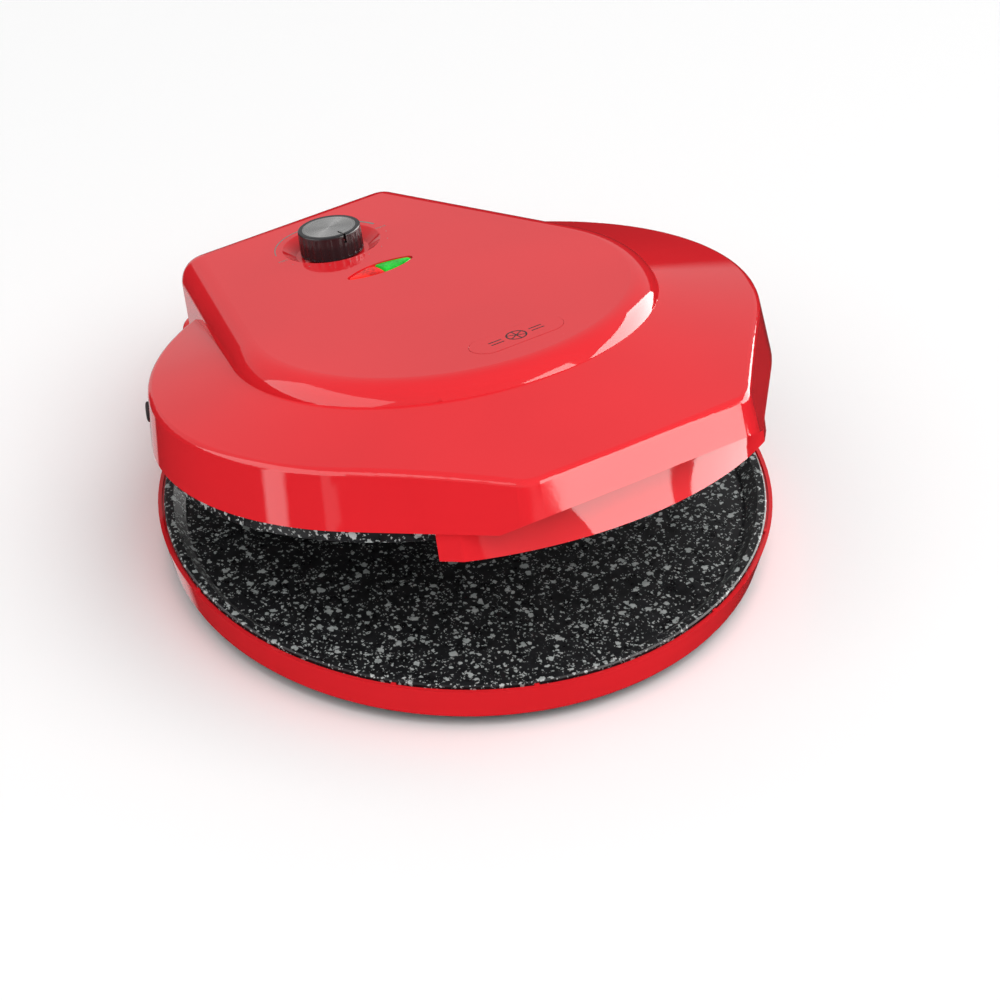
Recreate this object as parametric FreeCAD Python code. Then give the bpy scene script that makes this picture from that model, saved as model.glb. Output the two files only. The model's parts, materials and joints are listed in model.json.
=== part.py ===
import FreeCAD, Part
import math
import os

from FreeCAD import Vector

# Countertop pizza oven: a round base with a heated plate, a hinged lid with a second heated plate,
# a thermostat knob, two indicator lamps and a handle band under the lid's squared nose.
# Everything is in millimetres. The parts are first built about the lower plate's axis, with z = 0 where
# the feet rest, -Y to the front and +X to the right. Lid parts are built about the lid's own axis, with
# z = 0 in the plane of the skirt's lower edge, then closed onto the base and opened about the hinge.

# ---- driving dimensions: whole oven
PLATE_RADIUS = 165.0
SKIRT_RADIUS = 169.0            # lid skirt, at its lower edge
RIM_PLANE_Z = 31.0              # top of the lower plate's rim
LIP_DROP = 8.3                  # the upper plate's rim below the skirt's lower edge
CLOSED_GAP = 0.5                # between the two plate rims with the lid closed
HINGE_Y = 204.8
HINGE_Z = 46.5
REST_OPENING = 15.5             # degrees from closed, as the oven stands
WALL = 2.5                      # moulded housings

# ---- base
FOOT_HEIGHT = 7.0
RING_TOP_Z = 29.6
RING_TOP_RADIUS = 168.4
RING_BOTTOM_RADIUS = 162.8
RING_WALL = 2.1
LEDGE_TOP_Z = 28.0              # floor of the gap round the lower plate
LEDGE_THICKNESS = 2.4
RING_FOOT_EDGE = 3.5
LEDGE_INNER_RADIUS = 161.6
NUB_ANGLES = (20, 46, 92, 140)
NUB_TOP_Z = 30.0
PEDESTAL_TOP_Z = 34.0
PEDESTAL_REAR_Y = 222.0
PEDESTAL_HALF_FRONT = 64.0
PEDESTAL_HALF_REAR = 55.0
PEDESTAL_FRONT_Y = 120.0        # inside the ring
PEDESTAL_CORNER = 14.0
PEDESTAL_EDGE = 5.0
FOOT_CIRCLE = 132.0
COVER_SCREW_CIRCLE = 154.0
COVER_BOSS_TOP_Z = 17.6
COVER_SCREW_ANGLES = (0, 60, 120, 180, 240, 300)
POST_CIRCLE = 125.0
POST_ANGLES = (45, 135, 225, 315)
CORD_X = 34.0
CORD_Z = 19.0
CORD_HOLE = 6.5
COVER_UNDER_Z = 8.0
COVER_TOP_Z = 10.0
SCREW_SHANK = 1.5
SCREW_HEAD = 3.2
SCREW_HOLE = 1.8
BOSS_RADIUS = 4.0
BOSS_BORE = 1.6
VENT_PITCH = 9.0
VENT_HALF_LENGTH = 22.0
FOOT_HOLE = 3.0
FOOT_RADIUS = 9.0

# ---- lid
NOSE_ANGLE = 38.8               # where the nose's side walls leave the circle, below the X axis
NOSE_FRONT = 188.0              # the nose's bowed front, from the plate's axis
NOSE_BOW_RADIUS = 490.0
NOSE_CORNER = 19.0
BEVEL_START_Y = -168.2          # from here forwards the nose's underside rises
BEVEL_SLOPE = 0.534
SKIRT_DRAFT = 0.094             # inward per unit of height
TOP_RIM_Z = 32.0                # lid's conical top, at the plate's radius
TOP_SLOPE = 0.21
TOP_TILT = 0.8                  # degrees, higher towards the nose
CROWN_RADIUS = 110.0            # the cone ends here, under the raised housing
TOP_EDGE_FILLET = 3.8
HUMP_TOP_Z = 54.1
HUMP_RADIUS = 117.5
HUMP_CENTRE_Y = 6.6
HUMP_TAPER = 17.2               # degrees that each side closes in towards the rear
HUMP_REAR_Y = 181.0
HUMP_CORNER = 16.0
HUMP_FILLET = 14.5
BUMPER_RADIUS = 5.6
BUMPER_Z = 12.0
BUMPER_ANGLE = 32.0             # behind the X axis

# ---- hinge
PIN_RADIUS = 4.0
RUNNING_CLEARANCE = 0.06
BUSH_RADIUS = 6.0
ARM_INNER_X = 28.0
ARM_WIDTH = 8.0
ARM_BARREL_RADIUS = 9.5
ARM_FRONT_Y = 148.0
ARM_UNDER_Z = 2.4
ARM_TOP_Z = 13.4
ARM_SLOT_TOP_Z = 15.5
ARM_SCREW_SEAT_Z = 4.6
CHEEK_INNER_X = 19.0
CHEEK_OUTER_X = 27.0
KNUCKLE_RADIUS = 11.0
BRACKET_SCREW_HOLE = 2.1
BRACKET_SHEET = 2.5
SADDLE_WALL = 2.2
PIN_HALF_LENGTH = ARM_INNER_X + ARM_WIDTH + 2.0

# ---- controls on the lid
KNOB_Y = 123.0
KNOB_RADIUS = 17.7
KNOB_TOP_Z = 64.3
KNOB_BOTTOM_Z = 50.3
KNOB_DISC_RADIUS = 15.0
KNOB_RIBS = 24
FLUTE_RADIUS = 4.2
FLUTE_DEPTH = 0.5
BOWL_RADIUS = 27.6
BOWL_FLOOR_RADIUS = 20.5
BOWL_DEPTH = 5.0
SHAFT_RADIUS = 3.0
SHAFT_HOLE = 4.6
LENS_Y = 69.8
LENS_HALF_LENGTH = 23.0         # to where its two arcs would meet
LENS_HALF_WIDTH = 7.4
LENS_TIP_RADIUS = 2.8
BADGE_Y = -69.8
BADGE_HALF_STRAIGHT = 17.5
BADGE_RADIUS = 10.6
BADGE_RECESS = 0.8

# ---- handle band
BAND_DEPTH = 16.5
BAND_TOP_FRONT = 168.0          # the band's front, in line with the nose at its top
BAND_BOTTOM_FRONT = 176.5
BAND_CORNER_X = 94.0
BAND_CORNER_Y = -149.4
BAND_REAR_Y = -139.0
BAND_WALL = 2.6

# ---- baking plates and heaters
RIM_WIDTH = 5.0
PLATE_THICKNESS = 4.0
LOWER_RECESS = 8.2
UPPER_RECESS = 6.2
SLOPE_RUN = 7.0
DISH_FILLET = 3.0
TERMINAL_RADIUS = 2.0
REFLECTOR_SHEET = 0.6
REFLECTOR_DEPTH = 4.0
REFLECTOR_RADIUS = 140.0
INSULATION_RADIUS = 115.0
POST_RADIUS = 4.0
POST_COLUMN_Z = 22.0            # where the upper plate's posts meet the lid's columns
ELEMENT_RADIUS = 3.25
ELEMENT_LOOP = 95.0
ELEMENT_GAP_ANGLE = 12.0
CLIP_SHEET = 0.6

X = Vector(1, 0, 0)
Y = Vector(0, 1, 0)
Z = Vector(0, 0, 1)
ORIGIN = Vector(0, 0, 0)

SKIRT_CLOSED_Z = RIM_PLANE_Z + LIP_DROP + CLOSED_GAP


# ---------------------------------------------------------------- helpers

def polar(radius, angle):
    """A point on a circle; the angle is counted from +X towards +Y."""
    a = math.radians(angle)
    return (radius * math.cos(a), radius * math.sin(a))


def disc(radius, z0, z1, x=0.0, y=0.0):
    return Part.makeCylinder(radius, z1 - z0, Vector(x, y, z0), Z)


def ring(outer, inner, z0, z1, x=0.0, y=0.0):
    return disc(outer, z0, z1, x, y).cut(disc(inner, z0 - 1, z1 + 1, x, y))


def rod(radius, x0, x1, y, z):
    return Part.makeCylinder(radius, x1 - x0, Vector(x0, y, z), X)


def box(x0, x1, y0, y1, z0, z1):
    return Part.makeBox(x1 - x0, y1 - y0, z1 - z0, Vector(x0, y0, z0))


def revolve(points):
    """A full turn about Z of an (r, z) outline."""
    corners = [Vector(r, 0, z) for r, z in points]
    face = Part.Face(Part.makePolygon(corners + corners[:1]))
    return face.revolve(ORIGIN, Z, 360)


def prism(wire, z0, z1):
    """A wire drawn at z = 0, raised from z0 to z1."""
    face = Part.Face(wire)
    face.translate(Vector(0, 0, z0))
    return face.extrude(Vector(0, 0, z1 - z0))


def polygon(points, z=0.0):
    corners = [Vector(x, y, z) for x, y in points]
    return Part.makePolygon(corners + corners[:1])


def side_profile(points, x0, x1):
    """A (y, z) outline, extended along X."""
    corners = [Vector(x0, y, z) for y, z in points]
    return Part.Face(Part.makePolygon(corners + corners[:1])).extrude(Vector(x1 - x0, 0, 0))


def line(a, b, z):
    return Part.LineSegment(Vector(a[0], a[1], z), Vector(b[0], b[1], z)).toShape()


def arc(a, m, b, z):
    points = [Vector(p[0], p[1], z) for p in (a, m, b)]
    return Part.Arc(*points).toShape()


def fillet_where(shape, radius, wanted):
    edges = [e for e in shape.Edges if wanted(e)]
    return shape.makeFillet(radius, edges)


def z_range(edge):
    return edge.BoundBox.ZMin, edge.BoundBox.ZMax


def is_upright(edge):
    return z_range(edge)[1] - z_range(edge)[0] > 0.9 * edge.Length


def fuse_all(shapes):
    whole = shapes[0].multiFuse(shapes[1:]) if len(shapes) > 1 else shapes[0]
    return whole.removeSplitter()


def group(shapes):
    return Part.makeCompound(shapes)


# ---------------------------------------------------------------- base

def ring_wall_radius(z):
    """Outer radius of the base ring at a height."""
    share = (z - FOOT_HEIGHT) / (RING_TOP_Z - FOOT_HEIGHT)
    return RING_BOTTOM_RADIUS + share * (RING_TOP_RADIUS - RING_BOTTOM_RADIUS)


def pedestal_block(inset, z0, z1):
    """The low block behind the ring, that carries the hinge; its two rear corners are round."""
    front = (PEDESTAL_HALF_FRONT - inset, PEDESTAL_FRONT_Y)
    rear = (PEDESTAL_HALF_REAR - inset, PEDESTAL_REAR_Y - inset)
    outline = polygon([front, rear, (-rear[0], rear[1]), (-front[0], front[1])])
    rear_upright = lambda e: is_upright(e) and e.BoundBox.YMin > rear[1] - 1
    return fillet_where(prism(outline, z0, z1), PEDESTAL_CORNER - inset, rear_upright)


def base_shell():
    body = revolve([(0, FOOT_HEIGHT), (RING_BOTTOM_RADIUS, FOOT_HEIGHT), (RING_TOP_RADIUS, RING_TOP_Z),
                    (0, RING_TOP_Z)])
    body = fillet_where(body, RING_FOOT_EDGE, lambda e: z_range(e)[1] < FOOT_HEIGHT + 0.1 and e.Length > 900)
    block = pedestal_block(0, FOOT_HEIGHT, PEDESTAL_TOP_Z)
    top_edges = lambda e: z_range(e)[0] > PEDESTAL_TOP_Z - 0.1 and e.BoundBox.YMax > PEDESTAL_FRONT_Y + 1
    block = fillet_where(block, PEDESTAL_EDGE, top_edges)
    block = block.cut(disc(PLATE_RADIUS, RING_TOP_Z - 0.5, PEDESTAL_TOP_Z + 1))
    inner_low = ring_wall_radius(FOOT_HEIGHT) - RING_WALL
    inner_high = ring_wall_radius(RING_TOP_Z) - RING_WALL
    well = revolve([(0, LEDGE_TOP_Z), (inner_high, LEDGE_TOP_Z), (inner_high, PEDESTAL_TOP_Z + 2),
                    (0, PEDESTAL_TOP_Z + 2)])
    ledge_under = LEDGE_TOP_Z - LEDGE_THICKNESS
    inner_under = ring_wall_radius(ledge_under) - RING_WALL
    room = revolve([(0, FOOT_HEIGHT - 1), (inner_low, FOOT_HEIGHT - 1), (inner_under, ledge_under),
                    (LEDGE_INNER_RADIUS, ledge_under), (LEDGE_INNER_RADIUS, LEDGE_TOP_Z + 1),
                    (0, LEDGE_TOP_Z + 1)])
    rear_room = pedestal_block(WALL, FOOT_HEIGHT - 1, PEDESTAL_TOP_Z - WALL)
    rear_room = rear_room.cut(disc(RING_TOP_RADIUS, FOOT_HEIGHT - 2, PEDESTAL_TOP_Z + 1))
    shell = body.fuse(block).cut(well).cut(room).cut(rear_room)
    wire_way = box(-20, 20, 150, 175, FOOT_HEIGHT + 6, FOOT_HEIGHT + 14)
    shell = shell.cut(wire_way)
    shell = shell.cut(Part.makeCylinder(CORD_HOLE, 12, Vector(CORD_X, PEDESTAL_REAR_Y - 8, CORD_Z), Y))
    shell = shell.fuse(ring_nubs())
    shell = shell.fuse(cover_bosses())
    for x, y in bracket_screw_places():
        shell = shell.cut(disc(BRACKET_SCREW_HOLE, 20, 40, x, y))
    return shell.removeSplitter()


def ring_nubs():
    """Small ribs in the gap round the plate, that keep it centred."""
    nubs = []
    for angle in NUB_ANGLES:
        for side in (-1, 1):
            nub = box(-1.4, 1.4, PLATE_RADIUS + 0.3, PLATE_RADIUS + 1.9, LEDGE_TOP_Z - 0.5, NUB_TOP_Z)
            nub.rotate(ORIGIN, Z, 180 + side * angle)
            nubs.append(nub)
    return fuse_all(nubs)


def cover_bosses():
    bosses = []
    for angle in COVER_SCREW_ANGLES:
        x, y = polar(COVER_SCREW_CIRCLE, angle)
        boss = ring(BOSS_RADIUS, BOSS_BORE, COVER_TOP_Z, COVER_BOSS_TOP_Z, x, y)
        web = box(0, 9, -2, 2, COVER_TOP_Z + 2, COVER_BOSS_TOP_Z)
        web.translate(Vector(COVER_SCREW_CIRCLE + 2.0, 0, 0))
        web.rotate(ORIGIN, Z, angle)
        web = web.common(disc(ring_wall_radius(FOOT_HEIGHT) - 0.5, FOOT_HEIGHT, LEDGE_TOP_Z))
        bosses.append(boss.fuse(web.cut(disc(BOSS_BORE, FOOT_HEIGHT, LEDGE_TOP_Z, x, y))))
    return fuse_all(bosses)


def bottom_cover():
    """The round underside with its vents, six screw holes and four holes for feet."""
    cover = disc(ring_wall_radius(FOOT_HEIGHT) - RING_WALL - 0.4, COVER_UNDER_Z, COVER_TOP_Z)
    for angle in COVER_SCREW_ANGLES:
        x, y = polar(COVER_SCREW_CIRCLE, angle)
        cover = cover.cut(disc(SCREW_HOLE, FOOT_HEIGHT, COVER_TOP_Z + 1, x, y))
    for row in range(-3, 4):
        y = row * VENT_PITCH
        vent = box(-VENT_HALF_LENGTH, VENT_HALF_LENGTH, y - 1.5, y + 1.5, FOOT_HEIGHT, COVER_TOP_Z + 1)
        cover = cover.cut(vent)
    for x, y in foot_places()[:4]:
        cover = cover.cut(disc(FOOT_HOLE, FOOT_HEIGHT, COVER_TOP_Z + 1, x, y))
    return cover


def pedestal_cover():
    """The underside of the block behind the ring, with two holes for feet."""
    tail = pedestal_block(WALL + 0.4, COVER_UNDER_Z, COVER_TOP_Z)
    tail = tail.cut(disc(RING_TOP_RADIUS, FOOT_HEIGHT, COVER_TOP_Z + 2))
    for x, y in foot_places()[4:]:
        tail = tail.cut(disc(FOOT_HOLE, FOOT_HEIGHT, COVER_TOP_Z + 1, x, y))
    return tail


def bottom_cover_screws():
    screws = []
    for angle in COVER_SCREW_ANGLES:
        x, y = polar(COVER_SCREW_CIRCLE, angle)
        head = disc(SCREW_HEAD, COVER_UNDER_Z - 1.8, COVER_UNDER_Z, x, y)
        screws.append(head.fuse(disc(SCREW_SHANK, COVER_UNDER_Z, COVER_BOSS_TOP_Z - 0.5, x, y)))
    return group(screws)


def foot_places():
    ring_feet = [polar(FOOT_CIRCLE, a) for a in (215, 325, 35, 145)]
    return ring_feet + [(42.0, HINGE_Y - 6.0), (-42.0, HINGE_Y - 6.0)]


def foot(x, y):
    """A rubber foot with a stem through the cover and a lip that snaps in behind it."""
    pad = Part.makeCone(FOOT_RADIUS, FOOT_RADIUS + 1.5, COVER_UNDER_Z, Vector(x, y, 0), Z)
    pad = fillet_where(pad, 1.2, lambda e: z_range(e)[1] < 0.1)
    stem = disc(FOOT_HOLE - 0.1, FOOT_HEIGHT, COVER_TOP_Z + 0.8, x, y)
    lip = disc(FOOT_HOLE + 1.2, COVER_TOP_Z, COVER_TOP_Z + 0.8, x, y)
    return fuse_all([pad, stem, lip])


def plate_profile(recess, outer_depth):
    """Half section of a baking plate, rim upward, its rim's top at z = 0."""
    inner = PLATE_RADIUS - RIM_WIDTH
    floor = inner - SLOPE_RUN
    under = recess + PLATE_THICKNESS
    return [(0, -recess), (floor, -recess), (inner, 0), (PLATE_RADIUS - 0.8, 0), (PLATE_RADIUS, -0.8),
            (PLATE_RADIUS, -outer_depth), (inner + 1.0, -outer_depth), (floor + 2.0, -under), (0, -under)]


def lower_baking_plate():
    plate = revolve(plate_profile(LOWER_RECESS, 2.6))
    dish_edge = lambda e: abs(z_range(e)[1] + LOWER_RECESS) < 0.01 and e.Length > 100
    plate = fillet_where(plate, DISH_FILLET, dish_edge)
    plate.translate(Vector(0, 0, RIM_PLANE_Z))
    return plate


def heating_element(z, terminal_drop):
    """A tubular heater: one open loop whose two ends turn up or down as terminals."""
    start, end = ELEMENT_GAP_ANGLE, 360 - ELEMENT_GAP_ANGLE
    a = Vector(*polar(ELEMENT_LOOP, 90 + start), z)
    m = Vector(*polar(ELEMENT_LOOP, 270), z)
    b = Vector(*polar(ELEMENT_LOOP, 90 + end), z)
    path = Part.Wire([Part.Arc(a, m, b).toShape()])
    section = Part.Wire([Part.Circle(a, Vector(-a.y, a.x, 0), ELEMENT_RADIUS).toShape()])
    loop = path.makePipeShell([section], True, True)
    pieces = [loop]
    for p in (a, b):
        pieces.append(Part.makeSphere(ELEMENT_RADIUS, p))
        along = Vector(0, 0, math.copysign(1, terminal_drop))
        pieces.append(Part.makeCylinder(TERMINAL_RADIUS, abs(terminal_drop), p, along))
    return fuse_all(pieces)


def element_clips(z_plate, z_element, direction):
    """Sheet clamps that hold the heater against its plate; direction is +1 where the heater is above."""
    clips = []
    for angle in (150, 270, 30):
        reach = ELEMENT_RADIUS + CLIP_SHEET
        z_near, z_far = sorted((z_element + direction * ELEMENT_RADIUS, z_element + direction * reach))
        cap = box(ELEMENT_LOOP - 12, ELEMENT_LOOP + 12, -5, 5, z_near, z_far)
        z_low, z_high = sorted((z_plate, z_element + direction * reach))
        inner_leg = box(ELEMENT_LOOP - 11.5, ELEMENT_LOOP - 4.5, -5, 5, z_low, z_high)
        outer_leg = box(ELEMENT_LOOP + 4.5, ELEMENT_LOOP + 11.5, -5, 5, z_low, z_high)
        clip = fuse_all([cap, inner_leg, outer_leg])
        clip.rotate(ORIGIN, Z, angle)
        clips.append(clip)
    return group(clips)


def reflector(z, direction):
    """A thin dished pan behind the heater; direction is +1 where its lip turns up."""
    lip = z + direction * REFLECTOR_DEPTH
    back = z - direction * REFLECTOR_SHEET
    rim = REFLECTOR_RADIUS + 6.0
    pan = revolve([(0, z), (REFLECTOR_RADIUS, z), (rim, lip), (rim + REFLECTOR_SHEET, lip),
                   (REFLECTOR_RADIUS + REFLECTOR_SHEET, back), (0, back)])
    for angle in POST_ANGLES:
        x, y = polar(POST_CIRCLE, angle)
        pan = pan.cut(disc(POST_RADIUS + 1.0, z - 6, z + 6, x, y))
    for angle in (90 + ELEMENT_GAP_ANGLE, 90 - ELEMENT_GAP_ANGLE):
        x, y = polar(ELEMENT_LOOP, angle)
        pan = pan.cut(disc(TERMINAL_RADIUS + 2.5, z - 6, z + 6, x, y))
    return pan


def insulation(z0, z1):
    pad = disc(INSULATION_RADIUS, z0, z1)
    for angle in (90 + ELEMENT_GAP_ANGLE, 90 - ELEMENT_GAP_ANGLE):
        x, y = polar(ELEMENT_LOOP, angle)
        pad = pad.cut(disc(TERMINAL_RADIUS + 3.0, z0 - 1, z1 + 1, x, y))
    return pad


def plate_posts(z0, z1):
    posts = []
    for angle in POST_ANGLES:
        x, y = polar(POST_CIRCLE, angle)
        posts.append(disc(POST_RADIUS, z0, z1, x, y))
    return group(posts)


def hinge_bracket():
    """Two cheeks on one foot plate, bolted on the pedestal."""
    foot_top = PEDESTAL_TOP_Z + BRACKET_SHEET
    foot_plate = box(-CHEEK_OUTER_X, CHEEK_OUTER_X, HINGE_Y - 14, HINGE_Y + 14, PEDESTAL_TOP_Z, foot_top)
    parts = [foot_plate]
    for side in (-1, 1):
        x0, x1 = sorted((side * CHEEK_INNER_X, side * CHEEK_OUTER_X))
        outline = [(HINGE_Y - 13, PEDESTAL_TOP_Z + 1), (HINGE_Y + 13, PEDESTAL_TOP_Z + 1),
                   (HINGE_Y + KNUCKLE_RADIUS, HINGE_Z), (HINGE_Y - KNUCKLE_RADIUS, HINGE_Z)]
        web = side_profile(outline, x0, x1)
        parts += [web, rod(KNUCKLE_RADIUS, x0, x1, HINGE_Y, HINGE_Z)]
    bracket = fuse_all(parts)
    bracket = bracket.cut(hinge_pin())
    for x, y in bracket_screw_places():
        bracket = bracket.cut(disc(BRACKET_SCREW_HOLE, PEDESTAL_TOP_Z - 1, PEDESTAL_TOP_Z + 4, x, y))
    return bracket


def bracket_screw_places():
    return [(-14.0, HINGE_Y + 6.0), (14.0, HINGE_Y - 6.0)]


def hinge_cover():
    """A moulded saddle that closes the bracket between its cheeks."""
    x0, x1 = -CHEEK_INNER_X + 0.2, CHEEK_INNER_X - 0.2
    low = PEDESTAL_TOP_Z + 5.0
    outer = rod(KNUCKLE_RADIUS, x0, x1, HINGE_Y, HINGE_Z)
    outer = outer.fuse(box(x0, x1, HINGE_Y - KNUCKLE_RADIUS, HINGE_Y + KNUCKLE_RADIUS, low, HINGE_Z))
    half = KNUCKLE_RADIUS - SADDLE_WALL
    inner = rod(half, x0 - 1, x1 + 1, HINGE_Y, HINGE_Z)
    inner = inner.fuse(box(x0 - 1, x1 + 1, HINGE_Y - half, HINGE_Y + half, low - 1, HINGE_Z))
    saddle = outer.cut(inner).cut(box(x0 - 2, x1 + 2, HINGE_Y - 20, HINGE_Y + 20, 0, low))
    return saddle.removeSplitter()


def hinge_pin():
    return rod(PIN_RADIUS, -PIN_HALF_LENGTH, PIN_HALF_LENGTH, HINGE_Y, HINGE_Z)


def hinge_pin_caps():
    """Push-on dome caps at both ends of the pin."""
    caps = []
    start = ARM_INNER_X + ARM_WIDTH + 0.5
    for side in (-1, 1):
        x0, x1 = sorted((side * start, side * (start + 4.0)))
        cap = rod(7.0, x0, x1, HINGE_Y, HINGE_Z)
        outer_x = side * (start + 4.0)
        cap = fillet_where(cap, 2.0, lambda e: abs(e.BoundBox.Center.x - outer_x) < 0.1 and e.Length > 20)
        caps.append(cap.cut(hinge_pin()))
    return group(caps)


def hinge_washers():
    washers = []
    for side in (-1, 1):
        x0, x1 = sorted((side * (CHEEK_OUTER_X + 0.1), side * (ARM_INNER_X - 0.1)))
        washers.append(rod(7.5, x0, x1, HINGE_Y, HINGE_Z).cut(hinge_pin()))
    return group(washers)


def bracket_screws():
    screws = []
    for x, y in bracket_screw_places():
        seat = PEDESTAL_TOP_Z + BRACKET_SHEET
        head = disc(4.0, seat, seat + 2.2, x, y)
        screws.append(head.fuse(disc(2.0, PEDESTAL_TOP_Z - 10, seat, x, y)))
    return group(screws)


def cord_bushing():
    """The empty bushing where a mains cord would enter."""
    y0, y1 = PEDESTAL_REAR_Y - WALL - 2.0, PEDESTAL_REAR_Y + 4.0
    at = lambda y: Vector(CORD_X, y, CORD_Z)
    barrel = Part.makeCylinder(6.4, y1 - y0, at(y0), Y)
    collar = Part.makeCylinder(8.5, 2.0, at(PEDESTAL_REAR_Y), Y)
    inner_collar = Part.makeCylinder(8.0, 1.8, at(y0), Y)
    hole = Part.makeCylinder(3.9, y1 - y0 + 2, at(y0 - 1), Y)
    return fuse_all([barrel, collar, inner_collar]).cut(hole)


def terminal_block():
    """Three ways, each with two screw wells and a wire hole through."""
    front, rear, top = 184.0, 198.0, COVER_TOP_Z + 12.0
    block = box(-16, 16, front, rear, COVER_TOP_Z, top)
    for x in (-10.5, 0.0, 10.5):
        block = block.cut(disc(2.2, top - 5, top + 1, x, front + 3.5))
        block = block.cut(disc(2.2, top - 5, top + 1, x, rear - 3.5))
        wire_hole = Part.makeCylinder(1.8, rear - front + 4, Vector(x, front - 2, COVER_TOP_Z + 4.5), Y)
        block = block.cut(wire_hole)
    return block


def thermal_fuse():
    """A small axial fuse in its clip, under the lower plate."""
    y, z = 60.0, 16.8
    tube = Part.makeCylinder(2.0, 16, Vector(-8, y, z), X)
    return fuse_all([tube, box(-3, 3, y - 4, y + 4, z - 1.8, z + 2.0)])


# ---------------------------------------------------------------- lid

def nose_corner_centre(bow_y):
    """Centre of the right corner's rounding, which touches the side wall and the bowed front."""
    a = math.radians(NOSE_ANGLE)
    side = SKIRT_RADIUS - NOSE_CORNER
    bow = NOSE_BOW_RADIUS - NOSE_CORNER
    half = side * math.sin(a) - bow_y * math.cos(a) ** 2
    rest = side ** 2 + math.cos(a) ** 2 * (bow_y ** 2 - bow ** 2)
    y = -half - math.sqrt(half ** 2 - rest)
    return (side + y * math.sin(a)) / math.cos(a), y


def lid_outline(inset, z):
    """Plan of the lid: a circle drawn out into a nose with two straight sides and a bowed front."""
    radius = SKIRT_RADIUS - inset
    corner = NOSE_CORNER - inset
    a = math.radians(NOSE_ANGLE)
    bow_y = NOSE_BOW_RADIUS - NOSE_FRONT
    centre = nose_corner_centre(bow_y)
    lean = math.atan2(centre[1] - bow_y, centre[0])
    on_corner = lambda t: (centre[0] + corner * math.cos(t), centre[1] + corner * math.sin(t))
    front, middle, side = on_corner(lean), on_corner((lean - a) / 2), on_corner(-a)
    touch = (radius * math.cos(a), -radius * math.sin(a))
    flip = lambda p: (-p[0], p[1])
    return Part.Wire([arc(flip(front), (0, inset - NOSE_FRONT), front, z), arc(front, middle, side, z),
                      line(side, touch, z), arc(touch, (0, radius), flip(touch), z),
                      line(flip(touch), flip(side), z), arc(flip(side), flip(middle), flip(front), z)])


def hump_outline(inset, z):
    """Plan of the raised housing: a round front and sides that close in towards a flat rear wall."""
    radius = HUMP_RADIUS - inset
    rear = HUMP_REAR_Y - inset
    corner = HUMP_CORNER - inset
    t = math.radians(HUMP_TAPER)
    leave = (radius * math.cos(t), HUMP_CENTRE_Y + radius * math.sin(t))
    vertex = (leave[0] - (rear - leave[1]) * math.tan(t), rear)
    turn = math.pi / 2 - t
    run = corner * math.tan(turn / 2)
    side = (vertex[0] + run * math.sin(t), rear - run * math.cos(t))
    back = (vertex[0] - run, rear)
    centre = (back[0], rear - corner)
    away = math.hypot(vertex[0] - centre[0], vertex[1] - centre[1])
    middle = tuple(centre[i] + (vertex[i] - centre[i]) * corner / away for i in (0, 1))
    flip = lambda p: (-p[0], p[1])
    return Part.Wire([arc(flip(leave), (0, HUMP_CENTRE_Y - radius), leave, z), line(leave, side, z),
                      arc(side, middle, back, z), line(back, flip(back), z),
                      arc(flip(back), flip(middle), flip(side), z), line(flip(side), flip(leave), z)])


def lid_solid(inset, bottom):
    """The lid as a full solid, drawn in from its outside by an even wall."""
    high = 45.0
    low_wire = lid_outline(inset + bottom * SKIRT_DRAFT, bottom)
    high_wire = lid_outline(inset + high * SKIRT_DRAFT, high)
    skirt = Part.makeLoft([low_wire, high_wire], True, True)
    crown_z = TOP_RIM_Z + TOP_SLOPE * (PLATE_RADIUS - CROWN_RADIUS) - inset
    wide = PLATE_RADIUS + 60
    wide_z = TOP_RIM_Z - TOP_SLOPE * 60 - inset
    cone = revolve([(0, bottom - 6), (wide, bottom - 6), (wide, wide_z), (CROWN_RADIUS, crown_z),
                    (0, crown_z)])
    cone.rotate(ORIGIN, X, -TOP_TILT)
    disc_part = skirt.common(cone)
    on_rim = lambda e: (z_range(e)[0] > 10 and
                        max(math.hypot(v.X, v.Y) for v in e.Vertexes) > CROWN_RADIUS + 5)
    disc_part = fillet_where(disc_part, TOP_EDGE_FILLET - inset, on_rim)
    hump = prism(hump_outline(inset, 0), bottom, HUMP_TOP_Z - inset)
    hump = fillet_where(hump, HUMP_FILLET - inset, lambda e: z_range(e)[0] > HUMP_TOP_Z - inset - 0.1)
    return disc_part.fuse(hump).removeSplitter()


def under_bevel(lift, depth):
    """What lies under the nose's rising underside, the underside raised by lift."""
    reach = 40.0
    return side_profile([(BEVEL_START_Y, lift), (BEVEL_START_Y - reach, lift + reach * BEVEL_SLOPE),
                         (BEVEL_START_Y - reach, -depth), (BEVEL_START_Y, -depth)], -200, 200)


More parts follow.
